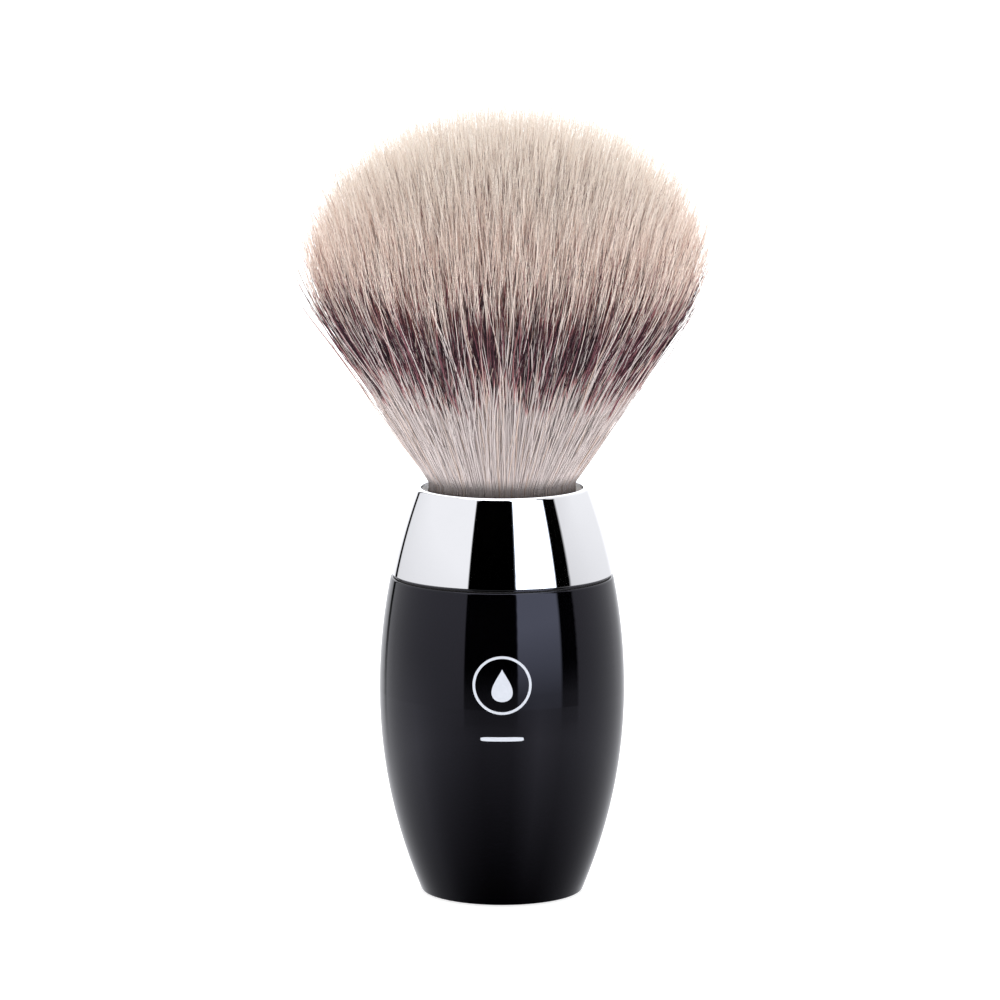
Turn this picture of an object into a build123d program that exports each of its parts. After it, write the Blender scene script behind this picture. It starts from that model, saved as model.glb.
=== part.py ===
from build123d import *
import math
import os

# Shaving brush with a screw-in head. Millimetres, +Z up, origin at the centre of the foot.
# Everything but the hexagons is turned about the Z axis.

# Outline of handle and collar: two arcs that meet at the belly
BELLY_RADIUS = 17.43
BELLY_HEIGHT = 29.1
UPPER_ARC_RADIUS = 82.0
LOWER_ARC_RADIUS = 74.2
FOOT_EDGE = 0.2
HANDLE_TOP_EDGE = 0.3

# Heights of the main joints
HANDLE_TOP = 45.3
SEAL_THICKNESS = 0.2
COLLAR_BOTTOM = HANDLE_TOP + SEAL_THICKNESS
RIM_HEIGHT = 58.0

# Collar: a turned cup with a floor that the stud goes through
COLLAR_BORE = 11.45
COLLAR_FLOOR = 1.55
COLLAR_BEVEL_DEPTH = 0.26
COLLAR_BEVEL_HEIGHT = 0.32
LIP_OUTER_ROUND = 0.45
LIP_INNER_ROUND = 0.2

# Seal between handle and collar
SEAL_INNER_RADIUS = 9.6
SEAL_RECESS = 0.4

# Thread M10 x 1.5: both threads are plain cylinders that run in each other
THREAD_RADIUS = 5.0
THREAD_CLEARANCE = 0.05
STUD_TIP = 32.4
STUD_TIP_CHAMFER = 0.9
STUD_HEAD_ACROSS_FLATS = 13.0
STUD_HEAD_THICKNESS = 1.5

# Nut and washer that clamp the head together
NUT_ACROSS_FLATS = 14.0
NUT_THICKNESS = 2.7
NUT_CHAMFER = 0.5
LOCK_WASHER_BORE = 5.2
LOCK_WASHER_RADIUS = 8.0
LOCK_WASHER_THICKNESS = 0.8
LOCK_WASHER_SLIT = 1.2

# Socket in the handle
COUNTERBORE_RADIUS = 8.9
COUNTERBORE_FLOOR = 41.6
INSERT_RADIUS = 7.2
INSERT_LENGTH = 12.0
INSERT_GROOVE_WIDTH = 1.2
INSERT_GROOVE_DEPTH = 0.5
INSERT_GROOVE_HEIGHTS = (33.0, 36.5)
SOCKET_FLOOR_GAP = 0.6

# Cup that holds the fibres, and what is potted in it
CUP_WALL = 0.95
CUP_FLOOR = 1.4
CUP_TOP = 56.0
POTTING_TOP = 54.0
BINDING_RADIUS = 0.3
BINDING_TURNS = 3
BINDING_PITCH = 0.5
BINDING_HEIGHT = 52.6

# Knot of fibres: cylinder in the cup, then a cone, a shoulder and a dome
KNOT_RADIUS = 10.0
KNOT_BOTTOM = 51.8
KNOT_FLARE = 32.7
KNOT_WIDEST_RADIUS = 28.0
KNOT_WIDEST_HEIGHT = 89.3
SHOULDER_ARC_RADIUS = 10.0
DOME_SIDE_ARC_RADIUS = 20.0
TOTAL_HEIGHT = 112.0

# The tuft bends about this point, and a ball-shaped gap parts it from the root
BEND_HEIGHT = 60.0
BEND_BALL_RADIUS = 16.0
BEND_GAP = 0.3

# Heights that follow from the sizes above
INSERT_BOTTOM = COUNTERBORE_FLOOR - INSERT_LENGTH
CUP_BOTTOM = COLLAR_BOTTOM + COLLAR_FLOOR
CUP_FLOOR_TOP = CUP_BOTTOM + CUP_FLOOR
STUD_HEAD_TOP = CUP_FLOOR_TOP + STUD_HEAD_THICKNESS
LOCK_WASHER_BOTTOM = COLLAR_BOTTOM - LOCK_WASHER_THICKNESS


def profile_radius(z):
    """Outer radius of handle and collar at height z."""
    arc = UPPER_ARC_RADIUS if z > BELLY_HEIGHT else LOWER_ARC_RADIUS
    return BELLY_RADIUS - arc + math.sqrt(arc**2 - (z - BELLY_HEIGHT) ** 2)


def belly_arc(z_low, z_high):
    """Outline between two heights on the same side of the belly, as one arc."""
    middle = (z_low + z_high) / 2
    points = [(profile_radius(z), 0, z) for z in (z_low, middle, z_high)]
    return ThreePointArc(*points)


def turned(*edges):
    """Solid of revolution about Z from an outline in the XZ plane."""
    return revolve(make_face(Wire(edges)), Axis.Z)


def disc(radius, z_low, z_high):
    """Upright cylinder between two heights."""
    height = z_high - z_low
    return Pos(0, 0, z_low) * Cylinder(radius, height, align=(Align.CENTER, Align.CENTER, Align.MIN))


def ring(inner, outer, z_low, z_high):
    """Upright ring between two heights."""
    return disc(outer, z_low, z_high) - disc(inner, z_low, z_high)


def hexagon(across_flats, z_low, z_high):
    """Upright hexagonal bar between two heights."""
    corner_radius = across_flats / math.sqrt(3)
    return Pos(0, 0, z_low) * extrude(RegularPolygon(corner_radius, 6), z_high - z_low)


def handle_body():
    """Cast resin barrel with a stepped socket from the top."""
    foot_radius = profile_radius(0)
    top_radius = profile_radius(HANDLE_TOP)
    barrel = turned(
        Line((0, 0, 0), (foot_radius, 0, 0)),
        belly_arc(0, BELLY_HEIGHT),
        belly_arc(BELLY_HEIGHT, HANDLE_TOP),
        Line((top_radius, 0, HANDLE_TOP), (0, 0, HANDLE_TOP)),
        Line((0, 0, HANDLE_TOP), (0, 0, 0)),
    )
    barrel = fillet(barrel.edges().group_by(Axis.Z)[0], FOOT_EDGE)
    barrel = fillet(barrel.edges().group_by(Axis.Z)[-1], HANDLE_TOP_EDGE)
    barrel -= disc(COUNTERBORE_RADIUS, COUNTERBORE_FLOOR, HANDLE_TOP)
    barrel -= disc(INSERT_RADIUS, INSERT_BOTTOM, COUNTERBORE_FLOOR)
    return barrel - disc(THREAD_RADIUS, INSERT_BOTTOM - SOCKET_FLOOR_GAP, INSERT_BOTTOM)


def thread_insert():
    """Brass bush bonded in the handle, with two grooves that hold the adhesive."""
    bore = THREAD_RADIUS + THREAD_CLEARANCE
    bush = ring(bore, INSERT_RADIUS, INSERT_BOTTOM, COUNTERBORE_FLOOR)
    for z in INSERT_GROOVE_HEIGHTS:
        bush -= ring(INSERT_RADIUS - INSERT_GROOVE_DEPTH, INSERT_RADIUS + 1, z, z + INSERT_GROOVE_WIDTH)
    return bush


def seal_washer():
    """Flat rubber washer between handle and collar."""
    return ring(SEAL_INNER_RADIUS, profile_radius(HANDLE_TOP) - SEAL_RECESS, HANDLE_TOP, COLLAR_BOTTOM)


def collar():
    """Turned collar that carries the handle's outline on up to the rim."""
    bevel_top = COLLAR_BOTTOM + COLLAR_BEVEL_HEIGHT
    bevel_foot = (profile_radius(COLLAR_BOTTOM) - COLLAR_BEVEL_DEPTH, 0, COLLAR_BOTTOM)
    shell = turned(
        Line((0, 0, COLLAR_BOTTOM), bevel_foot),
        Line(bevel_foot, (profile_radius(bevel_top), 0, bevel_top)),
        belly_arc(bevel_top, RIM_HEIGHT),
        Line((profile_radius(RIM_HEIGHT), 0, RIM_HEIGHT), (0, 0, RIM_HEIGHT)),
        Line((0, 0, RIM_HEIGHT), (0, 0, COLLAR_BOTTOM)),
    )
    shell -= disc(COLLAR_BORE, CUP_BOTTOM, RIM_HEIGHT)
    lip = shell.edges().group_by(Axis.Z)[-1].sort_by(SortBy.RADIUS)
    shell = fillet(lip[0], LIP_INNER_ROUND)
    lip = shell.edges().group_by(Axis.Z)[-1].sort_by(SortBy.RADIUS)
    shell = fillet(lip[-1], LIP_OUTER_ROUND)
    return shell - disc(THREAD_RADIUS, COLLAR_BOTTOM, CUP_BOTTOM)


def stud():
    """Threaded stud, whose hexagonal head lies on the floor of the knot cup."""
    head = hexagon(STUD_HEAD_ACROSS_FLATS, CUP_FLOOR_TOP, STUD_HEAD_TOP)
    shank = disc(THREAD_RADIUS, STUD_TIP, CUP_FLOOR_TOP)
    shank = chamfer(shank.edges().group_by(Axis.Z)[0], STUD_TIP_CHAMFER)
    return head + shank


def lock_washer():
    """Split spring washer, flattened under the nut's load."""
    washer = ring(LOCK_WASHER_BORE, LOCK_WASHER_RADIUS, LOCK_WASHER_BOTTOM, COLLAR_BOTTOM)
    slit = Box(LOCK_WASHER_RADIUS, LOCK_WASHER_SLIT, COLLAR_BOTTOM)
    return washer - Pos(LOCK_WASHER_RADIUS / 2, 0, COLLAR_BOTTOM) * slit


def clamp_nut():
    """Thin hexagonal nut that pulls collar and cup together."""
    bottom = LOCK_WASHER_BOTTOM - NUT_THICKNESS
    corner_radius = NUT_ACROSS_FLATS / math.sqrt(3)
    blank = disc(corner_radius, bottom, LOCK_WASHER_BOTTOM)
    blank = chamfer(blank.edges().filter_by(GeomType.CIRCLE), NUT_CHAMFER)
    nut = blank & hexagon(NUT_ACROSS_FLATS, bottom, LOCK_WASHER_BOTTOM)
    return nut - disc(THREAD_RADIUS, bottom, LOCK_WASHER_BOTTOM)


def knot_cup():
    """Plastic cup that the fibres are potted in."""
    cup = disc(COLLAR_BORE, CUP_BOTTOM, CUP_TOP)
    cup -= disc(COLLAR_BORE - CUP_WALL, CUP_FLOOR_TOP, CUP_TOP)
    return cup - disc(THREAD_RADIUS, CUP_BOTTOM, CUP_FLOOR_TOP)


def binding_thread():
    """Turns of waxed thread round the foot of the fibres, each turn pressed into the next."""
    turns = [
        Pos(0, 0, BINDING_HEIGHT + turn * BINDING_PITCH) * Torus(KNOT_RADIUS, BINDING_RADIUS)
        for turn in range(BINDING_TURNS)
    ]
    return turns[0].fuse(*turns[1:])


def knot_resin():
    """Potting resin over the stud's head and round the foot of the fibres."""
    plug = disc(COLLAR_BORE - CUP_WALL, CUP_FLOOR_TOP, POTTING_TOP)
    plug -= disc(KNOT_RADIUS, KNOT_BOTTOM, POTTING_TOP)
    return plug - stud() - binding_thread()


def outline_arc(centre_radius, centre_height, arc_radius, start, end):
    """Arc of an outline in the XZ plane, between two angles above the horizontal."""
    points = [
        (centre_radius + arc_radius * math.cos(angle), 0, centre_height + arc_radius * math.sin(angle))
        for angle in (start, (start + end) / 2, end)
    ]
    return ThreePointArc(*points)


def shoulder_arc():
    """Arc from the knot's cone up to its widest point."""
    centre_radius = KNOT_WIDEST_RADIUS - SHOULDER_ARC_RADIUS
    return outline_arc(centre_radius, KNOT_WIDEST_HEIGHT, SHOULDER_ARC_RADIUS, -math.radians(KNOT_FLARE), 0)


def dome_arcs():
    """Two tangent arcs from the widest point up to the tip: the side of the dome, then its crown."""
    side_centre = KNOT_WIDEST_RADIUS - DOME_SIDE_ARC_RADIUS
    dome_height = TOTAL_HEIGHT - KNOT_WIDEST_HEIGHT
    crown_radius = (side_centre**2 + dome_height**2 - DOME_SIDE_ARC_RADIUS**2) / (
        2 * (dome_height - DOME_SIDE_ARC_RADIUS)
    )
    crown_centre = TOTAL_HEIGHT - crown_radius
    join = math.atan2(KNOT_WIDEST_HEIGHT - crown_centre, side_centre)
    side = outline_arc(side_centre, KNOT_WIDEST_HEIGHT, DOME_SIDE_ARC_RADIUS, 0, join)
    crown = outline_arc(0, crown_centre, crown_radius, join, math.pi / 2)
    return side, crown


def neck_point():
    """Point where the fibres leave the cylinder and begin to flare."""
    cone_top = shoulder_arc() @ 0
    return (KNOT_RADIUS, 0, cone_top.Z - (cone_top.X - KNOT_RADIUS) / math.tan(math.radians(KNOT_FLARE)))


def ball_arc(ball_radius):
    """Arc of a ball about the bend point, from the axis out to the knot's cone."""
    flare = math.radians(KNOT_FLARE)
    neck_rise = neck_point()[2] - BEND_HEIGHT
    nearest = KNOT_RADIUS * math.cos(flare) - neck_rise * math.sin(flare)
    meeting = math.acos(nearest / ball_radius) - flare
    return outline_arc(0, BEND_HEIGHT, ball_radius, math.pi / 2, meeting)


def fibre_root():
    """Foot of the fibres, potted in the cup, up to the ball-shaped gap."""
    foot = (KNOT_RADIUS, 0, KNOT_BOTTOM)
    top = ball_arc(BEND_BALL_RADIUS)
    root = turned(
        Line((0, 0, KNOT_BOTTOM), foot),
        Line(foot, neck_point()),
        Line(neck_point(), top @ 1),
        top,
        Line(top @ 0, (0, 0, KNOT_BOTTOM)),
    )
    return root - binding_thread()


def fibre_tuft():
    """Free length of the fibres: a cone, a shoulder and a dome above the ball-shaped gap."""
    bottom = ball_arc(BEND_BALL_RADIUS + BEND_GAP)
    shoulder = shoulder_arc()
    side, crown = dome_arcs()
    return turned(
        bottom,
        Line(bottom @ 1, shoulder @ 0),
        shoulder,
        side,
        crown,
        Line(crown @ 1, bottom @ 0),
    )


NODES = (
    handle_body,
    thread_insert,
    seal_washer,
    collar,
    stud,
    lock_washer,
    clamp_nut,
    knot_cup,
    knot_resin,
    binding_thread,
    fibre_root,
    fibre_tuft,
)

os.makedirs("parts", exist_ok=True)
for node in NODES:
    export_step(node(), f"parts/{node.__name__}.step")
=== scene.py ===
import math

import bmesh
import bpy
import numpy as np
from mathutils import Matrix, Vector
from mathutils.kdtree import KDTree


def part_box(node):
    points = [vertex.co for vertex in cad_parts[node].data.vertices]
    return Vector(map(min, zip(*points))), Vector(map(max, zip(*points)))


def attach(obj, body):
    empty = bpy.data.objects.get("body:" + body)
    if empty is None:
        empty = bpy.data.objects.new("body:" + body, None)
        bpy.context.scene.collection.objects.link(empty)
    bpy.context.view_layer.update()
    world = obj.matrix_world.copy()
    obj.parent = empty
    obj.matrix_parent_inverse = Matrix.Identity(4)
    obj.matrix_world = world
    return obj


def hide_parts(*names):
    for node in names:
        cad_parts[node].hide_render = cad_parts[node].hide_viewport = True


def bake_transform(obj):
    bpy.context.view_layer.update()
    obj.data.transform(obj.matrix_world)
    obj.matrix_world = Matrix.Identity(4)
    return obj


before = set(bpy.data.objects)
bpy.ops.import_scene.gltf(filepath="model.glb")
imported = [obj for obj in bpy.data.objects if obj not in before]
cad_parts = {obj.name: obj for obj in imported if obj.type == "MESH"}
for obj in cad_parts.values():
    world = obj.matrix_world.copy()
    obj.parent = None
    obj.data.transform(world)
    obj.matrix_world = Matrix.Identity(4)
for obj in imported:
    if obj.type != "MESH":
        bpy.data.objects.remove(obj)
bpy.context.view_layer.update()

MM = 0.001

# Camera: above the tips of the fibres, looking down at the middle of the brush
CAMERA_DISTANCE = 700 * MM
CAMERA_HEIGHT = 162.9 * MM
CAMERA_SIDESTEP = -0.29 * MM
CAMERA_PITCH = 8.68
CAMERA_LENS = 180.1
CAMERA_SENSOR = 36.0

# Floor
FLOOR_HALF_WIDTH = 6.0
FLOOR_COLOUR = (0.85, 0.85, 0.85, 1)
FLOOR_GLOW = 0.45

# Light on matt surfaces: its level all round, its slope from front to back, and what is added on some sides
LIGHT_ALL_ROUND = 0.84
LIGHT_FRONT_TO_BACK = 0.78
LIGHT_BEHIND = 1.0
LIGHT_BESIDE = 1.1
LIGHT_ABOVE = 0.95

# What polished surfaces mirror, as (bearing, level) round the horizon, in degrees.
# Bearing 0 is the camera's side and +90 is +X.
BRIGHTEST = 3.0
COOL_WHITE = (0.955, 0.963, 1.0)
KEY_COLOUR = (2.3, 2.5, 2.85)
KEY_PANEL = [(14, 0), (15.5, 1), (57, 1), (58.5, 0)]
WIDE_PANELS = [
    (-180, 2.0),
    (-147, 1.2),
    (-145.5, 0),
    (-140.5, 0),
    (-139, 0.95),
    (-36.5, 0.95),
    (-35.5, 0),
    (75, 0),
    (77, 0.8),
    (110, 0.95),
    (150, 1.1),
    (180, 2.0),
]
MIRRORED_FLOOR = [
    (-180, 1.0),
    (-120, 0.95),
    (-90, 1.05),
    (-65, 0.75),
    (-20, 0.4),
    (10, 0.42),
    (35, 0.85),
    (60, 0.6),
    (100, 0.75),
    (180, 1.0),
]

# Elevations in degrees between which each part of the mirrored room fades in
KEY_FOOT = (-18.0, 5.5)
PANEL_FOOT = (-4.0, 16.0)
PANEL_FOOT_LEVEL = 0.8
FLOOR_FADE = (-62.0, -18.0)
FLOOR_FADE_POWER = 1.5
HORIZON = (-18.0, -2.0)
CEILING = (58.0, 72.0)

# Fibres: how many, and how finely each is drawn
FIBRES = 20000
LOCKS = 12
RINGS = 20
SIDES = 3
FIBRE_SEED = 41

# Thickness of a fibre
FIBRE_RADIUS = 0.08 * MM
THICKNESS_RANGE = (0.8, 1.15)
THINNING = 0.2
FIBRE_TIP_RADIUS = 0.010 * MM
TAPER_LENGTH = 16 * MM
TAPER_POWER = 0.8

# Shape of the knot. Lengths run along a fibre from the rim, and the height starts at the foot
NECK_RADIUS = 9.9 * MM
ROOT_DEPTH = 0.5 * MM
FLARE = math.radians(31.9)
SIDE_LEAN = 0.014
WIDEST_HEIGHT = 89.3 * MM
STRAIGHT_LENGTH = 25 * MM
CURVED_LENGTH = 16 * MM
TURN_BACK = 0.72
PATH_LENGTH = 63 * MM
PATH_STEPS = 70

# How the fibres stray from that shape
ROOT_SCATTER = 0.3
LENGTH_SPREAD = 0.9 * MM
LONGER_LIMIT = 1.3 * MM
EDGE_SHORTENING = 1.7 * MM
CLUMPS = 900
CLUMP_PULL = 0.46
CLUMP_DISTANCE = 25 * MM
CLUMP_REACH = 15 * MM
USUAL_TILT = math.radians(2.3)
STRAY_TILT = math.radians(4.5)
STRAY_SHARE = 0.15
TILT_LIMIT = 2.0
OUTWARD_SHARE = 0.85
EDGE_CALM = 0.2

# Waves along the fibres: shortest, longest and usual height. They grow to full size over LOOSE_LENGTH
FINE_WAVES = (12 * MM, 22 * MM, 0.16 * MM)
LONG_WAVES = (24 * MM, 44 * MM, 0.45 * MM)
LOOSE_LENGTH = 18 * MM

# Fibre colours lie along U by distance from the rim, and across V in rows by the fibre's length.
COLOUR_MAP = "OFBake"
COLOUR_ROWS = 256
SIDE_PLACES = (0.2, 0.8, 0.5)
SHORTEST_FIBRE = 30 * MM
LONGEST_FIBRE = 60 * MM
COLOUR_MAP_LENGTH = 60 * MM
COLOUR_SLIDE = 0.9 * MM
COLOUR_WAVE = 1.2 * MM
SLIDE_LENGTH = 10 * MM

# Names of each row's random numbers, three for each offset into the noise
CHANCES = {
    0.0: ("root", "middle", "tip"),
    0.37: ("band", "band_start", "band_width"),
    0.71: ("dye", "streak", "streak_end"),
}

# Shades that the fibres' colours are picked from by chance
ROOT_SHADES = [
    (0.0, (0.58, 0.50, 0.49)),
    (0.7, (0.66, 0.59, 0.58)),
    (0.92, (0.66, 0.53, 0.47)),
    (1.0, (0.52, 0.37, 0.31)),
]
MIDDLE_SHADES = [
    (0.0, (0.68, 0.55, 0.50)),
    (0.5, (0.82, 0.71, 0.67)),
    (0.75, (0.55, 0.36, 0.31)),
    (1.0, (0.20, 0.09, 0.08)),
]
# Tips of the short fibres at the front of the tuft: partly their own brown, partly painted shade, as the
# light from above reaches them less than the long fibres at the top.
SHORT_TIP_COLOURS_AND_PAINTED_SHADE = [
    (0.0, (0.99, 0.88, 0.80)),
    (0.6, (0.94, 0.79, 0.70)),
    (0.85, (0.64, 0.43, 0.35)),
    (1.0, (0.28, 0.14, 0.10)),
]
LONG_TIP_SHADES = [(0.97, 0.91, 0.84), (0.90, 0.78, 0.68)]
BAND_SHADES = [
    (0.0, (0.017, 0.005, 0.009)),
    (0.6, (0.055, 0.017, 0.028)),
    (0.87, (0.22, 0.075, 0.10)),
    (1.0, (0.40, 0.19, 0.21)),
]
BAND_EDGE_SHADE = (0.46, 0.20, 0.20)
STREAK_SHADES = [(0.10, 0.035, 0.03), (0.28, 0.10, 0.08)]

# Where the colours lie, in mm from the rim, and the tips' and streaks' ends in mm from the tip.
# A range is what chance picks from.
MIDDLE_FADE = (24.0, 34.0)
TIP_FADE_START_RANGE = (12.0, 7.0)
TIP_FADE_END_RANGE = (4.0, 1.0)
BAND_START_RANGE = (10.5, 17.5)
BAND_DELAY_RANGE = (0.0, 5.0)
BAND_WIDTH_RANGE = (11.5, 20.0)
BAND_FADE = 4.0
STREAK_START_FADE = (26.0, 29.0)
STREAK_END_RANGE = (2.0, 9.0)
STREAK_END_FADE = 3.0
# Painted shade on the fibres near the rim, where their roots sit in shade: their colour is multiplied by the
# level below at the first distance in mm, rising to full colour past the second.
PAINTED_RIM_SHADE_FADE = (0.2, 2.2)
PAINTED_RIM_SHADE_LEVEL = 0.45

# What changes with a fibre's length in mm
# Between these lengths the tips turn from the short fibres' browner colour with painted shade to the long
# fibres' cream.
LONG_TIP_LENGTHS = (40.0, 50.0)
BAND_MEAN_LENGTH = 38.0
BAND_CLIMB = 0.3
LESS_DYED_LENGTHS = (36.0, 32.0)

# Shares of the fibres, and of the dye in them
UNDYED_SHARE = 0.17
MORE_UNDYED_SHARE = 0.13
PARTLY_DYED_SHARE = 0.04
FAINTEST_DYE = 0.06
BAND_EDGE_DYE = (0.0, 0.5)
BAND_DYE = (0.25, 0.9)
UNSTREAKED_SHARE = 0.66

# Printed mark on the front of the handle
MARK_HEIGHT = 32.6 * MM
MARK_POINTS = 96
MARK_RING_RADIUS = 4.1 * MM
MARK_LINE = 0.36 * MM
DROP_HALF_HEIGHT = 2.3 * MM
DROP_HALF_WIDTH = 2.1 * MM
DROP_POINTEDNESS = 1.5
BAR_DROP = 7.6 * MM
BAR_HALF_LENGTH = 3.0 * MM
BAR_HALF_HEIGHT = 0.3 * MM
BAR_ROUNDNESS = 0.4
FILL_LOOPS = 10
SMALLEST_FILL_LOOP = 0.1
INK_RISE = 0.03 * MM
INK_THICKNESS = 0.05 * MM

# Stud thread M10 x 1.5
THREAD_RADIUS = 5.0 * MM
THREAD_PITCH = 1.5 * MM
THREAD_DEPTH = 0.85 * MM
THREAD_FLAT = 0.1
THREAD_CHAMFER = 0.9 * MM
THREAD_COLUMNS = 72
ROWS_PER_TURN = 16
STUD_HEAD_THICKNESS = 1.5 * MM
STUD_HEAD_BEVEL = 0.25 * MM

rim_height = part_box("collar")[1].z
cup_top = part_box("knot_cup")[1].z
tuft_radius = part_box("fibre_tuft")[1].x
tip_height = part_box("fibre_tuft")[1].z


# ---------------------------------------------------------------- node helpers


def new_material(name):
    """A material with only a Principled shader, and its node tree."""
    material = bpy.data.materials.new(name)
    material.use_nodes = True
    tree = material.node_tree
    return material, tree, tree.nodes["Principled BSDF"]


def add_node(tree, kind, inputs=(), **settings):
    """A node with its settings made and its inputs linked or set, in order or by name."""
    node = tree.nodes.new(kind)
    for key, value in settings.items():
        setattr(node, key, value)
    named = inputs.items() if isinstance(inputs, dict) else enumerate(inputs)
    for key, value in named:
        if isinstance(value, bpy.types.NodeSocket):
            tree.links.new(value, node.inputs[key])
        elif value is not None:
            node.inputs[key].default_value = value
    return node


def maths(tree, operation, *values):
    """Output of a Math node."""
    return add_node(tree, "ShaderNodeMath", values, operation=operation).outputs[0]


def smooth_step(tree, value, low, high):
    """0 at low and 1 at high, smooth in between and steady past them. Low may be the larger of the two."""
    inputs = {"Value": value, "From Min": low, "From Max": high}
    return add_node(tree, "ShaderNodeMapRange", inputs, interpolation_type="SMOOTHSTEP").outputs[0]


def spread(tree, value, low, high, start=0.0, end=1.0):
    """A value from start to end, stretched to run from low to high."""
    inputs = {"Value": value, "From Min": start, "From Max": end, "To Min": low, "To Max": high}
    return add_node(tree, "ShaderNodeMapRange", inputs).outputs[0]


def opaque(colour):
    """An (r, g, b) with full alpha. A socket stays as it is."""
    return colour if isinstance(colour, bpy.types.NodeSocket) else (*colour, 1)


def mix_colours(tree, share, first, second, blend="MIX"):
    """Mix of two colours, each a socket or an (r, g, b)."""
    inputs = {0: share, 6: opaque(first), 7: opaque(second)}
    return add_node(tree, "ShaderNodeMix", inputs, data_type="RGBA", blend_type=blend).outputs[2]


def colour_ramp(tree, value, stops):
    """Colour of a ramp with (position, (r, g, b)) stops."""
    node = add_node(tree, "ShaderNodeValToRGB", [value])
    ramp = node.color_ramp
    while len(ramp.elements) < len(stops):
        ramp.elements.new(1.0)
    for element, (position, colour) in zip(ramp.elements, stops):
        element.position = position
        element.color = (*colour, 1)
    return node.outputs[0]


def object_noise(tree, scale, detail=2.0, stretch=(1, 1, 1)):
    """Noise in the object's own space, with scale in features per metre."""
    coordinates = add_node(tree, "ShaderNodeTexCoord").outputs["Object"]
    mapping = add_node(tree, "ShaderNodeMapping", {"Vector": coordinates, "Scale": stretch}).outputs[0]
    inputs = {"Vector": mapping, "Scale": scale, "Detail": detail}
    return add_node(tree, "ShaderNodeTexNoise", inputs).outputs[0]


def add_bump(tree, shader, height, distance, strength=1.0):
    """Bump on a shader's normal, with its height in metres."""
    inputs = {"Height": height, "Distance": distance, "Strength": strength}
    bump = add_node(tree, "ShaderNodeBump", inputs)
    tree.links.new(bump.outputs[0], shader.inputs["Normal"])


def put_on(material, *node_names):
    """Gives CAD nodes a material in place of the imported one."""
    for name in node_names:
        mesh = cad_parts[name].data
        mesh.materials.clear()
        mesh.materials.append(material)


# ---------------------------------------------------------------- materials


def chrome():
    """Mirror chrome plate with faint polishing marks."""
    material, tree, shader = new_material("chrome")
    shader.inputs["Metallic"].default_value = 1.0
    tone = object_noise(tree, scale=300)
    colour = mix_colours(tree, tone, (0.93, 0.93, 0.94), (0.95, 0.95, 0.96))
    tree.links.new(colour, shader.inputs["Base Color"])
    marks = object_noise(tree, scale=700, detail=4.0, stretch=(1, 1, 8))
    tree.links.new(spread(tree, marks, low=0.01, high=0.045), shader.inputs["Roughness"])
    return material


def handle_resin():
    """Polished black cast resin with a trace of violet in its gloss."""
    material, tree, shader = new_material("handle_resin")
    cloud = object_noise(tree, scale=90, detail=3.0)
    colour = mix_colours(tree, cloud, (0.0002, 0.0002, 0.0003), (0.0006, 0.0005, 0.0009))
    tree.links.new(colour, shader.inputs["Base Color"])
    shader.inputs["IOR"].default_value = 1.45
    shader.inputs["Specular Tint"].default_value = (0.84, 0.82, 1.0, 1)
    marks = object_noise(tree, scale=260, detail=4.0)
    tree.links.new(spread(tree, marks, low=0.02, high=0.06), shader.inputs["Roughness"])
    return material


def printing_ink():
    """White pad-printed ink, a little uneven."""
    material, tree, shader = new_material("printing_ink")
    noise = object_noise(tree, scale=3000, detail=3.0)
    colour = mix_colours(tree, noise, (0.54, 0.57, 0.64), (0.62, 0.65, 0.72))
    tree.links.new(colour, shader.inputs["Base Color"])
    tree.links.new(spread(tree, noise, low=0.35, high=0.5), shader.inputs["Roughness"])
    return material


def turned_metal(name, colour, roughness):
    """Machined metal with fine turning marks round its axis."""
    material, tree, shader = new_material(name)
    tone = object_noise(tree, scale=500, detail=3.0)
    darker = tuple(0.8 * part for part in colour)
    tree.links.new(mix_colours(tree, tone, darker, colour), shader.inputs["Base Color"])
    shader.inputs["Metallic"].default_value = 1.0
    marks = object_noise(tree, scale=60, stretch=(1, 1, 120))
    tree.links.new(spread(tree, marks, roughness - 0.06, roughness + 0.08), shader.inputs["Roughness"])
    add_bump(tree, shader, marks, distance=0.02 * MM, strength=0.5)
    return material


def soft_solid(name, colour, roughness, grain, relief):
    """Rubber, plastic or resin with a fine grain in colour, gloss and relief."""
    material, tree, shader = new_material(name)
    noise = object_noise(tree, grain, detail=4.0)
    darker = tuple(0.75 * part for part in colour)
    tree.links.new(mix_colours(tree, noise, darker, colour), shader.inputs["Base Color"])
    tree.links.new(spread(tree, noise, roughness - 0.08, roughness + 0.08), shader.inputs["Roughness"])
    add_bump(tree, shader, noise, relief)
    return material


def row_chances(tree, row):
    """Random numbers by name, each the same all along a row of the colour map."""
    chances = {}
    for offset, names in CHANCES.items():
        seed = maths(tree, "ADD", row, offset)
        noise = add_node(tree, "ShaderNodeTexWhiteNoise", {"W": seed}, noise_dimensions="1D").outputs["Color"]
        numbers = add_node(tree, "ShaderNodeSeparateColor", [noise]).outputs
        chances.update(zip(names, numbers))
    return chances


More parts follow.
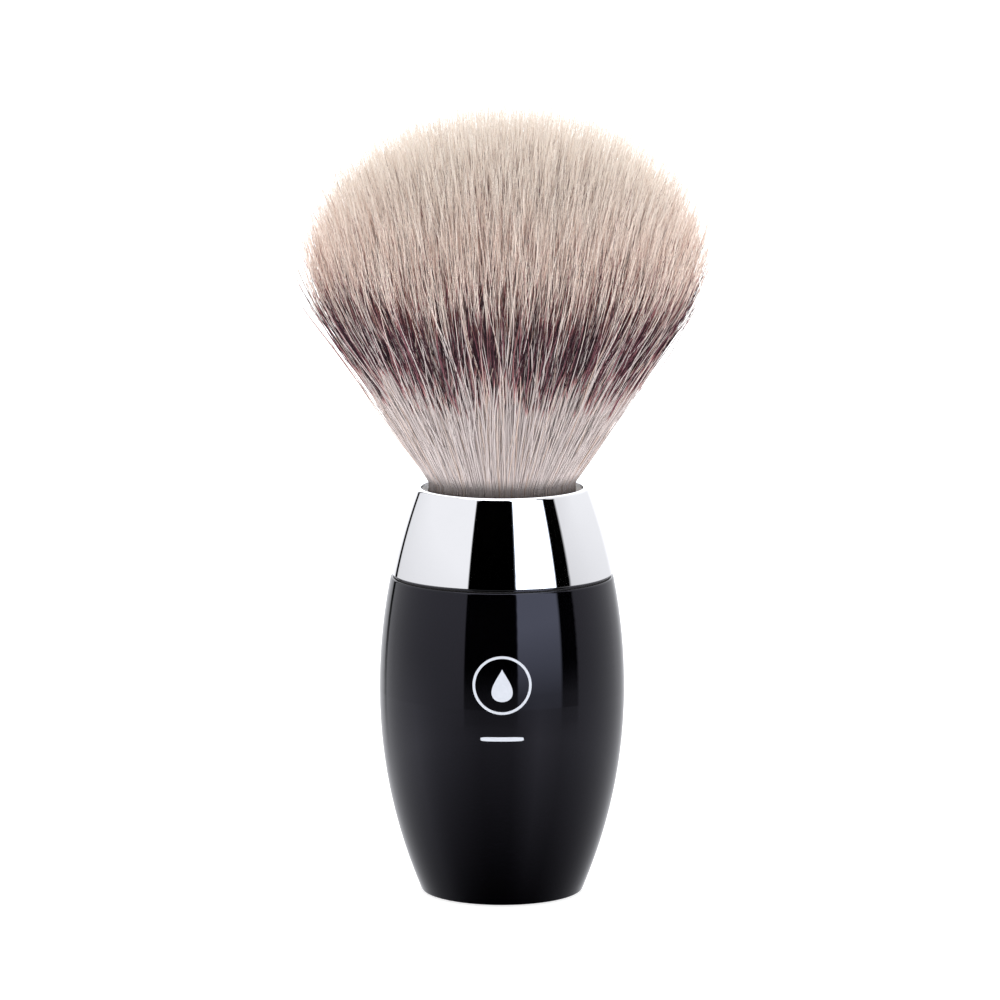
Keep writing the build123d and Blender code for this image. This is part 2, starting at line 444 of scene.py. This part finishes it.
def undyed_colour(tree, chances, length, from_rim, from_tip):
    """Fibre with a pale root, a browner middle and a cream tip; short fibres' tips are browner, partly their
    own colour and partly painted shade.
    """
    root = colour_ramp(tree, chances["root"], ROOT_SHADES)
    middle = colour_ramp(tree, chances["middle"], MIDDLE_SHADES)
    colour = mix_colours(tree, smooth_step(tree, from_rim, *MIDDLE_FADE), root, middle)

    # Short fibres get browner tips than long ones: partly the fibres' own colour, partly painted shade.
    short_tip_colour_and_painted_shade = colour_ramp(tree, chances["tip"], SHORT_TIP_COLOURS_AND_PAINTED_SHADE)
    long_tip = mix_colours(tree, chances["tip"], *LONG_TIP_SHADES)
    tip = mix_colours(tree, smooth_step(tree, length, *LONG_TIP_LENGTHS), short_tip_colour_and_painted_shade, long_tip)
    fade_start = spread(tree, chances["tip"], *TIP_FADE_START_RANGE)
    fade_end = spread(tree, chances["root"], *TIP_FADE_END_RANGE)
    return mix_colours(tree, smooth_step(tree, from_tip, fade_start, fade_end), colour, tip)


def dye_share(tree, chances, length, from_rim):
    """How strongly the band is dyed. It lies higher on longer fibres, and leaves out some of them."""
    delay = spread(tree, chances["dye"], *BAND_DELAY_RANGE)
    climb = maths(tree, "MULTIPLY", maths(tree, "SUBTRACT", length, BAND_MEAN_LENGTH), BAND_CLIMB)
    start = maths(tree, "ADD", spread(tree, chances["band_start"], *BAND_START_RANGE), delay)
    start = maths(tree, "ADD", start, climb)
    end = maths(tree, "ADD", start, spread(tree, chances["band_width"], *BAND_WIDTH_RANGE))
    rise = smooth_step(tree, from_rim, start, maths(tree, "ADD", start, BAND_FADE))
    fall = smooth_step(tree, from_rim, maths(tree, "SUBTRACT", end, BAND_FADE), end)

    short = smooth_step(tree, length, *LESS_DYED_LENGTHS)
    undyed = maths(tree, "MULTIPLY_ADD", short, MORE_UNDYED_SHARE, UNDYED_SHARE)
    dyed = smooth_step(tree, chances["dye"], undyed, maths(tree, "ADD", undyed, PARTLY_DYED_SHARE))
    dyed = maths(tree, "MAXIMUM", dyed, FAINTEST_DYE)
    return maths(tree, "MULTIPLY", maths(tree, "SUBTRACT", rise, fall), dyed)


def streak_share(tree, chances, from_rim, from_tip):
    """How strongly a fibre is streaked, from above the band up to near its tip, on some fibres only."""
    end = spread(tree, chances["streak_end"], *STREAK_END_RANGE)
    streak = smooth_step(tree, from_tip, end, maths(tree, "ADD", end, STREAK_END_FADE))
    streak = maths(tree, "MULTIPLY", streak, smooth_step(tree, from_rim, *STREAK_START_FADE))
    chosen = maths(tree, "GREATER_THAN", chances["streak"], UNSTREAKED_SHARE)
    return maths(tree, "MULTIPLY", streak, chosen)


def fibre_material():
    """Fibre with a pale root, a plum band and a cream tip, different in each row of the colour map, with
    painted shade near the rim.
    """
    material, tree, shader = new_material("fibre")
    place = add_node(tree, "ShaderNodeUVMap", uv_map=COLOUR_MAP).outputs[0]
    split = add_node(tree, "ShaderNodeSeparateXYZ", [place]).outputs
    from_rim = maths(tree, "MULTIPLY", split[0], COLOUR_MAP_LENGTH / MM)
    length = spread(tree, split[1], SHORTEST_FIBRE / MM, LONGEST_FIBRE / MM)
    from_tip = maths(tree, "SUBTRACT", length, from_rim)
    chances = row_chances(tree, maths(tree, "FLOOR", maths(tree, "MULTIPLY", split[1], COLOUR_ROWS)))

    colour = undyed_colour(tree, chances, length, from_rim, from_tip)
    dye = dye_share(tree, chances, length, from_rim)
    band = colour_ramp(tree, chances["band"], BAND_SHADES)
    colour = mix_colours(tree, smooth_step(tree, dye, *BAND_EDGE_DYE), colour, BAND_EDGE_SHADE)
    colour = mix_colours(tree, smooth_step(tree, dye, *BAND_DYE), colour, band)
    streak = mix_colours(tree, chances["middle"], *STREAK_SHADES)
    colour = mix_colours(tree, streak_share(tree, chances, from_rim, from_tip), colour, streak)
    # Painted shade: the fibres' colour is darkened near the rim, where the roots are in shade.
    painted_rim_shade = spread(tree, from_rim, PAINTED_RIM_SHADE_LEVEL, 1.0, *PAINTED_RIM_SHADE_FADE)
    colour = mix_colours(tree, 1.0, colour, painted_rim_shade, "MULTIPLY")

    tree.links.new(colour, shader.inputs["Base Color"])
    shader.inputs["Roughness"].default_value = 0.42
    shader.inputs["Specular IOR Level"].default_value = 0.35
    return material


# ---------------------------------------------------------------- fibres


def skin(name, vertices):
    """Mesh of closed tubes from vertices[tube, ring, side]. A ring runs counter-clockwise about its tube."""
    grid = np.arange(vertices[..., 0].size).reshape(vertices.shape[:3])
    after = np.roll(grid, -1, axis=2)
    quads = np.stack([grid[:, :-1], after[:, :-1], after[:, 1:], grid[:, 1:]], axis=-1)
    quads = quads.reshape(-1)
    caps = np.concatenate([grid[:, 0, ::-1], grid[:, -1]]).reshape(-1)
    corners = np.concatenate([quads, caps])
    counts = np.repeat([4, grid.shape[2]], [len(quads) // 4, 2 * len(grid)])
    starts = np.cumsum(counts) - counts

    mesh = bpy.data.meshes.new(name)
    mesh.vertices.add(grid.size)
    mesh.vertices.foreach_set("co", vertices.reshape(-1).astype(np.float32))
    mesh.loops.add(len(corners))
    mesh.loops.foreach_set("vertex_index", corners.astype(np.int32))
    mesh.polygons.add(len(counts))
    mesh.polygons.foreach_set("loop_start", starts.astype(np.int32))
    mesh.update(calc_edges=True)
    mesh.shade_smooth()
    return mesh, corners


def add_object(name, mesh, material):
    """A new object in the scene with one material."""
    mesh.materials.append(material)
    item = bpy.data.objects.new(name, mesh)
    bpy.context.scene.collection.objects.link(item)
    return item


def scatter_roots(rng):
    """Where the fibres stand in the neck, as points of a unit disc spread like the seeds of a sunflower."""
    order = np.arange(FIBRES) + 0.5
    share = np.sqrt(order / FIBRES)
    bearing = order * math.pi * (3 - math.sqrt(5))
    roots = share[:, None] * np.stack([np.cos(bearing), np.sin(bearing)], axis=1)
    roots += rng.normal(0, ROOT_SCATTER / math.sqrt(FIBRES), roots.shape)
    outside = np.maximum(np.linalg.norm(roots, axis=1, keepdims=True), 1)
    return roots / outside


def nearest_clumps(rng, roots):
    """For each root, the centre of the nearest clump in the unit disc and the slide of its colours."""
    share = np.sqrt(rng.random(CLUMPS))
    bearing = rng.uniform(0, 2 * math.pi, CLUMPS)
    centres = share[:, None] * np.stack([np.cos(bearing), np.sin(bearing)], axis=1)
    tree = KDTree(CLUMPS)
    for index, centre in enumerate(centres):
        tree.insert((*centre, 0), index)
    tree.balance()
    nearest = [tree.find((*root, 0))[1] for root in roots]
    slide = rng.normal(0, COLOUR_SLIDE, CLUMPS)
    return centres[nearest], slide[nearest]


def fibre_paths(share):
    """Radius and height along a fibre that doesn't stray, and its length up to the dome.

    There is one row for each fibre, from its root's share of the neck's radius.
    """
    along = np.linspace(0, PATH_LENGTH, PATH_STEPS)
    step = along[1]
    turn = np.clip((along - STRAIGHT_LENGTH) / CURVED_LENGTH, 0, 1)
    straightened = TURN_BACK * share[:, None] ** 3 * turn * turn * (3 - 2 * turn)
    lean = FLARE * share[:, None] * (1 - straightened)
    radius = share[:, None] * NECK_RADIUS + np.cumsum(np.sin(lean) * step, axis=1)
    height = rim_height + np.cumsum(np.cos(lean) * step, axis=1)
    dome = (radius / tuft_radius) ** 2
    dome += (np.maximum(height - WIDEST_HEIGHT, 0) / (tip_height - WIDEST_HEIGHT)) ** 2
    last = np.argmax(dome > 1, axis=1)[:, None]
    before, after = (np.take_along_axis(dome, last - back, axis=1) for back in (1, 0))
    reach = (last - (after - 1) / (after - before)) * step
    return radius, height, reach


def read_rows(values, distance):
    """Each fibre's values at the even steps of its path, read at its own distances from the rim."""
    place = distance / PATH_LENGTH * (PATH_STEPS - 1)
    low = np.clip(place.astype(int), 0, PATH_STEPS - 2)
    first = np.take_along_axis(values, low, axis=1)
    second = np.take_along_axis(values, low + 1, axis=1)
    return first + (second - first) * (place - low)


def waves(rng, distance, shortest, longest, height):
    """Waves of random length and height along the fibres, sideways and outwards."""
    wave_length = rng.uniform(shortest, longest, (2, FIBRES, 1))
    phase = rng.uniform(0, 2 * math.pi, (2, FIBRES, 1))
    wave_height = height * rng.gamma(2.0, 0.5, (2, FIBRES, 1))
    return wave_height * np.sin(2 * math.pi * distance / wave_length + phase)


def sway_of(rng, share, distance):
    """How far the fibres stray from their paths, sideways and outwards: a tilt and two sets of waves."""
    tilt_size = np.where(rng.random(FIBRES) < STRAY_SHARE, STRAY_TILT, USUAL_TILT)
    tilt = np.clip(rng.normal(0, 1, (2, FIBRES)), -TILT_LIMIT, TILT_LIMIT) * tilt_size
    loose = np.clip(distance / LOOSE_LENGTH, 0, 1)
    sway = tilt[..., None] * distance
    for size in (FINE_WAVES, LONG_WAVES):
        sway += waves(rng, distance, *size) * loose
    sway[1] *= (OUTWARD_SHARE * (1 - EDGE_CALM * share**6))[:, None]
    return sway


def slide_colours(roots, clump_slide, distance, length):
    """Where the colours of each ring and fibre are read: near its own distance and length, but uneven."""
    bearing = np.arctan2(roots[:, 1], roots[:, 0])
    lobes = np.sin(5 * bearing + 1.0) * np.sin(3 * bearing)
    slide = clump_slide + COLOUR_WAVE * lobes
    slid_distance = distance + slide[:, None] * np.clip(distance / SLIDE_LENGTH, 0, 1)
    slid_distance = np.concatenate([np.zeros((FIBRES, 1)), slid_distance], axis=1)
    return slid_distance, length + slide


def grow_fibres(rng):
    """Points[fibre, ring], and each ring's place in the colours: distance from the rim and fibre length."""
    roots = scatter_roots(rng)
    clumps, clump_slide = nearest_clumps(rng, roots)
    share = np.linalg.norm(roots, axis=1)
    radius, height, reach = fibre_paths(share)
    length = reach[:, 0] + np.minimum(rng.normal(0.0, LENGTH_SPREAD, FIBRES), LONGER_LIMIT)
    length -= rng.exponential(EDGE_SHORTENING, FIBRES) * share**5
    distance = length[:, None] * np.linspace(0, 1, RINGS - 1)
    radius = read_rows(radius, distance)
    height = read_rows(height, distance)

    pull = CLUMP_PULL * np.exp(-(((distance - CLUMP_DISTANCE) / CLUMP_REACH) ** 2))[..., None]
    disc = roots[:, None] * (1 - pull) + clumps[:, None] * pull
    outward = (roots / share[:, None])[:, None]
    sideward = outward[..., ::-1] * [-1, 1]
    sway = sway_of(rng, share, distance)

    points = np.empty((FIBRES, RINGS, 3))
    spot = radius[..., None] / share[:, None, None] * disc
    points[:, 1:, :2] = spot + sway[0, ..., None] * sideward + sway[1, ..., None] * outward
    points[:, 1:, 0] += SIDE_LEAN * (height - rim_height)
    points[:, 1:, 2] = height

    # Below the rim each fibre goes straight down to its root, just inside the cup
    points[:, 0] = points[:, 1]
    points[:, 0, 2] = cup_top - ROOT_DEPTH
    return points, *slide_colours(roots, clump_slide, distance, length)


def tubes_along(points, radii):
    """Vertices[fibre, ring, side] of thin tubes along the points."""
    along = np.gradient(points, axis=1)
    along /= np.linalg.norm(along, axis=2, keepdims=True)
    across = np.cross(along, [1.0, 0.0, 0.0])
    across /= np.linalg.norm(across, axis=2, keepdims=True)
    third = np.cross(along, across)
    turn = np.arange(SIDES) * 2 * math.pi / SIDES
    rings = np.cos(turn)[:, None] * across[:, :, None] + np.sin(turn)[:, None] * third[:, :, None]
    return points[:, :, None] + rings * radii[:, :, None, None]


def add_colour_map(mesh, corners, distance, length):
    """Colour map of a lock: each corner's distance from the rim along U, its fibre's row across V.

    A fibre's sides lie at different places within their row, so that each face has some width there.
    """
    place = (length - SHORTEST_FIBRE) / (LONGEST_FIBRE - SHORTEST_FIBRE)
    row = np.clip(np.floor(place * COLOUR_ROWS), 0, COLOUR_ROWS - 1)
    spots = np.empty((*distance.shape, SIDES, 2))
    spots[..., 0] = distance[:, :, None] / COLOUR_MAP_LENGTH
    spots[..., 1] = (row[:, None, None] + SIDE_PLACES) / COLOUR_ROWS
    layer = mesh.uv_layers.new(name=COLOUR_MAP)
    layer.data.foreach_set("uv", spots.reshape(-1, 2)[corners].astype(np.float32).reshape(-1))


def make_fibres():
    """The bundle of fibres, in locks side by side round the knot. Polished surfaces don't mirror them."""
    material = fibre_material()
    rng = np.random.default_rng(FIBRE_SEED)
    points, distance, length = grow_fibres(rng)
    thickness = rng.uniform(*THICKNESS_RANGE, (FIBRES, 1)) * (1 - THINNING * distance / length[:, None])
    to_tip = np.clip((length[:, None] - distance) / TAPER_LENGTH, 0, 1)
    radii = FIBRE_TIP_RADIUS + (FIBRE_RADIUS * thickness - FIBRE_TIP_RADIUS) * to_tip**TAPER_POWER
    bearing = np.arctan2(points[:, 0, 1], points[:, 0, 0]) / (2 * math.pi) + 0.5
    lock_of_fibre = np.minimum((bearing * LOCKS).astype(int), LOCKS - 1)
    for index in range(LOCKS):
        chosen = lock_of_fibre == index
        name = f"fibre_lock_{index + 1:02d}"
        mesh, corners = skin(name, tubes_along(points[chosen], radii[chosen]))
        add_colour_map(mesh, corners, distance[chosen], length[chosen])
        lock = add_object(name, mesh, material)
        lock.visible_glossy = False
        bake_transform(lock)
        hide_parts("fibre_root", "fibre_tuft")


# ---------------------------------------------------------------- printed mark and stud


def print_loops(mesh, height, loops, filled):
    """Lays loops of flat points on the front of the handle and joins them, with a middle point if filled."""
    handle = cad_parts["handle_body"]
    in_front = 2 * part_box("handle_body")[0].y
    backwards = Vector((0, 1, 0))
    rows = []
    if filled:
        loops = [*loops, np.zeros((1, 2))]
    for loop in loops:
        row = []
        for across, up in loop:
            start = Vector((across, in_front, height + up))
            _, spot, normal, _ = handle.ray_cast(start, backwards)
            row.append(mesh.verts.new(spot + normal * INK_RISE))
        rows.append(row)
    count = len(rows[0])
    for outer, inner in zip(rows, rows[1:]):
        for index in range(count):
            after = (index + 1) % count
            corners = [outer[index], outer[after]]
            corners += [inner[0]] if len(inner) == 1 else [inner[after], inner[index]]
            mesh.faces.new(corners)


def make_printed_mark():
    """Plain mark on the front of the handle: a drop in a ring, over a short bar."""
    turn = np.linspace(0, 2 * math.pi, MARK_POINTS, endpoint=False)
    circle = np.stack([np.sin(turn), np.cos(turn)], axis=1)
    drop_width = DROP_HALF_WIDTH * np.sin(turn) * np.sin(turn / 2) ** DROP_POINTEDNESS
    drop = np.stack([drop_width, DROP_HALF_HEIGHT * np.cos(turn)], axis=1)
    rounded = np.sign(circle) * np.abs(circle) ** BAR_ROUNDNESS
    bar = rounded * [BAR_HALF_LENGTH, BAR_HALF_HEIGHT]
    inward = np.linspace(1, SMALLEST_FILL_LOOP, FILL_LOOPS)

    mesh = bmesh.new()
    ring = [circle * MARK_RING_RADIUS, circle * (MARK_RING_RADIUS - MARK_LINE)]
    print_loops(mesh, MARK_HEIGHT, ring, filled=False)
    print_loops(mesh, MARK_HEIGHT, [drop * share for share in inward], filled=True)
    print_loops(mesh, MARK_HEIGHT - BAR_DROP, [bar * share for share in inward], filled=True)
    bmesh.ops.recalc_face_normals(mesh, faces=mesh.faces)
    bmesh.ops.solidify(mesh, geom=mesh.faces, thickness=INK_THICKNESS)
    bmesh.ops.recalc_face_normals(mesh, faces=mesh.faces)
    data = bpy.data.meshes.new("front_mark")
    mesh.to_mesh(data)
    mesh.free()
    mark = add_object("front_mark", data, printing_ink())
    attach(mark, "handle")


def make_stud(material):
    """Stud with a rolled thread in place of the plain one, and its hexagonal head."""
    low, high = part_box("stud")
    head_bottom = high.z - STUD_HEAD_THICKNESS
    rows = int((head_bottom - low.z) / THREAD_PITCH * ROWS_PER_TURN)
    height = np.linspace(low.z, head_bottom, rows)[:, None]
    turn = np.arange(THREAD_COLUMNS) / THREAD_COLUMNS
    phase = (height / THREAD_PITCH - turn) % 1
    flank = 1 - np.abs(2 * phase - 1)
    ridge = np.clip((flank - THREAD_FLAT) / (1 - 2 * THREAD_FLAT), 0, 1)
    radius = THREAD_RADIUS - THREAD_DEPTH * (1 - ridge)
    radius = np.minimum(radius, THREAD_RADIUS - THREAD_CHAMFER + height - low.z)
    angle = 2 * math.pi * turn
    grid = np.broadcast_arrays(radius * np.cos(angle), radius * np.sin(angle), height)
    vertices = np.stack(grid, axis=-1)
    mesh, _ = skin("stud_thread", vertices[None])
    thread = add_object("stud_thread", mesh, material)

    head = bmesh.new()
    bmesh.ops.create_cone(
        head,
        cap_ends=True,
        segments=6,
        radius1=high.x,
        radius2=high.x,
        depth=STUD_HEAD_THICKNESS,
    )
    bmesh.ops.bevel(head, geom=head.edges, offset=STUD_HEAD_BEVEL, segments=2, affect="EDGES")
    bmesh.ops.translate(head, verts=head.verts, vec=(0, 0, high.z - STUD_HEAD_THICKNESS / 2))
    data = bpy.data.meshes.new("stud_head")
    head.to_mesh(data)
    head.free()
    for piece in (thread, add_object("stud_head", data, material)):
        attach(piece, "head")
        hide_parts("stud")


# ---------------------------------------------------------------- studio


def make_camera():
    """Camera in front of the brush, at the height and distance that give the photo's view."""
    data = bpy.data.cameras.new("camera")
    data.lens = CAMERA_LENS
    data.sensor_width = CAMERA_SENSOR
    camera = bpy.data.objects.new("camera", data)
    camera.location = (CAMERA_SIDESTEP, -CAMERA_DISTANCE, CAMERA_HEIGHT)
    camera.rotation_euler = (math.radians(90 - CAMERA_PITCH), 0, 0)
    bpy.context.scene.collection.objects.link(camera)
    bpy.context.scene.camera = camera


def make_floor():
    """Wide white floor. Reflections leave it out, and show the floor of the mirrored room instead."""
    mesh = bpy.data.meshes.new("floor")
    sides = ((-1, -1), (1, -1), (1, 1), (-1, 1))
    corners = [(x * FLOOR_HALF_WIDTH, y * FLOOR_HALF_WIDTH, 0) for x, y in sides]
    mesh.from_pydata(corners, [], [(0, 1, 2, 3)])
    material, _, shader = new_material("floor")
    shader.inputs["Base Color"].default_value = FLOOR_COLOUR
    shader.inputs["Roughness"].default_value = 1.0
    shader.inputs["Specular IOR Level"].default_value = 0.0
    shader.inputs["Emission Color"].default_value = (1, 1, 1, 1)
    shader.inputs["Emission Strength"].default_value = FLOOR_GLOW
    floor = add_object("floor", mesh, material)
    floor.visible_glossy = False


def light_ramp(tree, turn, colour, stops):
    """Light of one colour round the horizon from (bearing, level) stops, in shares of the brightest."""
    scaled = []
    for bearing, level in stops:
        share = tuple(level * part / BRIGHTEST for part in colour)
        scaled.append(((bearing + 180) / 360, share))
    return colour_ramp(tree, turn, scaled)


def rising(tree, elevation, lowest, highest, power=1.0):
    """0 below the lowest elevation, rising to 1 at the highest."""
    return maths(tree, "POWER", spread(tree, elevation, 0.0, 1.0, lowest, highest), power)


def mirrored_room(tree, turn, elevation):
    """What polished surfaces mirror: panels with black gaps, a floor that is dim in front, and a ceiling."""
    key = light_ramp(tree, turn, KEY_COLOUR, KEY_PANEL)
    panels = light_ramp(tree, turn, COOL_WHITE, WIDE_PANELS)
    floor = light_ramp(tree, turn, COOL_WHITE, MIRRORED_FLOOR)
    key = mix_colours(tree, 1.0, key, rising(tree, elevation, *KEY_FOOT), "MULTIPLY")
    upward = spread(tree, rising(tree, elevation, *PANEL_FOOT), PANEL_FOOT_LEVEL, 1.0)
    panels = mix_colours(tree, 1.0, panels, upward, "MULTIPLY")
    panels = mix_colours(tree, 1.0, panels, key, "ADD")
    downward = rising(tree, elevation, *FLOOR_FADE, FLOOR_FADE_POWER)
    floor = mix_colours(tree, 1.0, floor, downward, "MULTIPLY")
    room = mix_colours(tree, smooth_step(tree, elevation, *HORIZON), floor, panels)
    return mix_colours(tree, smooth_step(tree, elevation, *CEILING), room, COOL_WHITE)


def matt_light(tree, sideways, backwards, upwards):
    """Level of the light on matt surfaces by the direction it comes from."""
    level = maths(tree, "MULTIPLY_ADD", backwards, LIGHT_FRONT_TO_BACK, LIGHT_ALL_ROUND)
    behind = maths(tree, "MAXIMUM", backwards, 0.0)
    beside = maths(tree, "POWER", sideways, 4.0)
    above = maths(tree, "MAXIMUM", upwards, 0.0)
    for share, light in ((behind, LIGHT_BEHIND), (beside, LIGHT_BESIDE), (above, LIGHT_ABOVE)):
        level = maths(tree, "MULTIPLY_ADD", share, light, level)
    return level


def make_world():
    """White room, whose light is stronger behind, beside and above, with its own panels for the gloss."""
    world = bpy.data.worlds.new("studio")
    world.use_nodes = True
    bpy.context.scene.world = world
    tree = world.node_tree
    direction = add_node(tree, "ShaderNodeTexCoord").outputs["Generated"]
    split = add_node(tree, "ShaderNodeSeparateXYZ", [direction]).outputs
    bearing = maths(tree, "ARCTAN2", split[0], maths(tree, "MULTIPLY", split[1], -1.0))
    turn = maths(tree, "ADD", maths(tree, "DIVIDE", bearing, 2 * math.pi), 0.5)
    elevation = maths(tree, "MULTIPLY", maths(tree, "ARCSINE", split[2]), 180 / math.pi)

    room = mirrored_room(tree, turn, elevation)
    level = matt_light(tree, *split)
    white = (1, 1, 1, 1)
    mirrored = add_node(tree, "ShaderNodeBackground", {"Color": room, "Strength": BRIGHTEST}).outputs[0]
    lighting = add_node(tree, "ShaderNodeBackground", {"Color": white, "Strength": level}).outputs[0]
    backdrop = add_node(tree, "ShaderNodeBackground", {"Color": white, "Strength": 1.0}).outputs[0]

    path = add_node(tree, "ShaderNodeLightPath").outputs
    light = add_node(tree, "ShaderNodeMixShader", [path["Is Glossy Ray"], lighting, mirrored]).outputs[0]
    shown = add_node(tree, "ShaderNodeMixShader", [path["Is Camera Ray"], light, backdrop]).outputs[0]
    output = next(node for node in tree.nodes if node.type == "OUTPUT_WORLD")
    tree.links.new(shown, output.inputs["Surface"])
    bpy.context.scene.view_settings.view_transform = "Standard"


# ---------------------------------------------------------------- the brush

make_camera()
make_floor()
make_world()

steel = turned_metal("stud_steel", (0.62, 0.61, 0.60), roughness=0.30)
brass = turned_metal("insert_brass", (0.80, 0.60, 0.30), roughness=0.28)
rubber = soft_solid("seal_rubber", (0.012, 0.010, 0.010), roughness=0.6, grain=2500, relief=0.02 * MM)
plastic = soft_solid("cup_plastic", (0.80, 0.76, 0.68), roughness=0.4, grain=1500, relief=0.01 * MM)
potting = soft_solid("potting_resin", (0.50, 0.33, 0.14), roughness=0.25, grain=600, relief=0.02 * MM)
cord = soft_solid("binding_cord", (0.72, 0.64, 0.50), roughness=0.75, grain=4000, relief=0.04 * MM)
put_on(chrome(), "collar")
put_on(handle_resin(), "handle_body")
put_on(brass, "thread_insert")
put_on(steel, "lock_washer", "clamp_nut")
put_on(rubber, "seal_washer")
put_on(plastic, "knot_cup")
put_on(potting, "knot_resin")
put_on(cord, "binding_thread")
make_stud(steel)
make_printed_mark()
make_fibres()
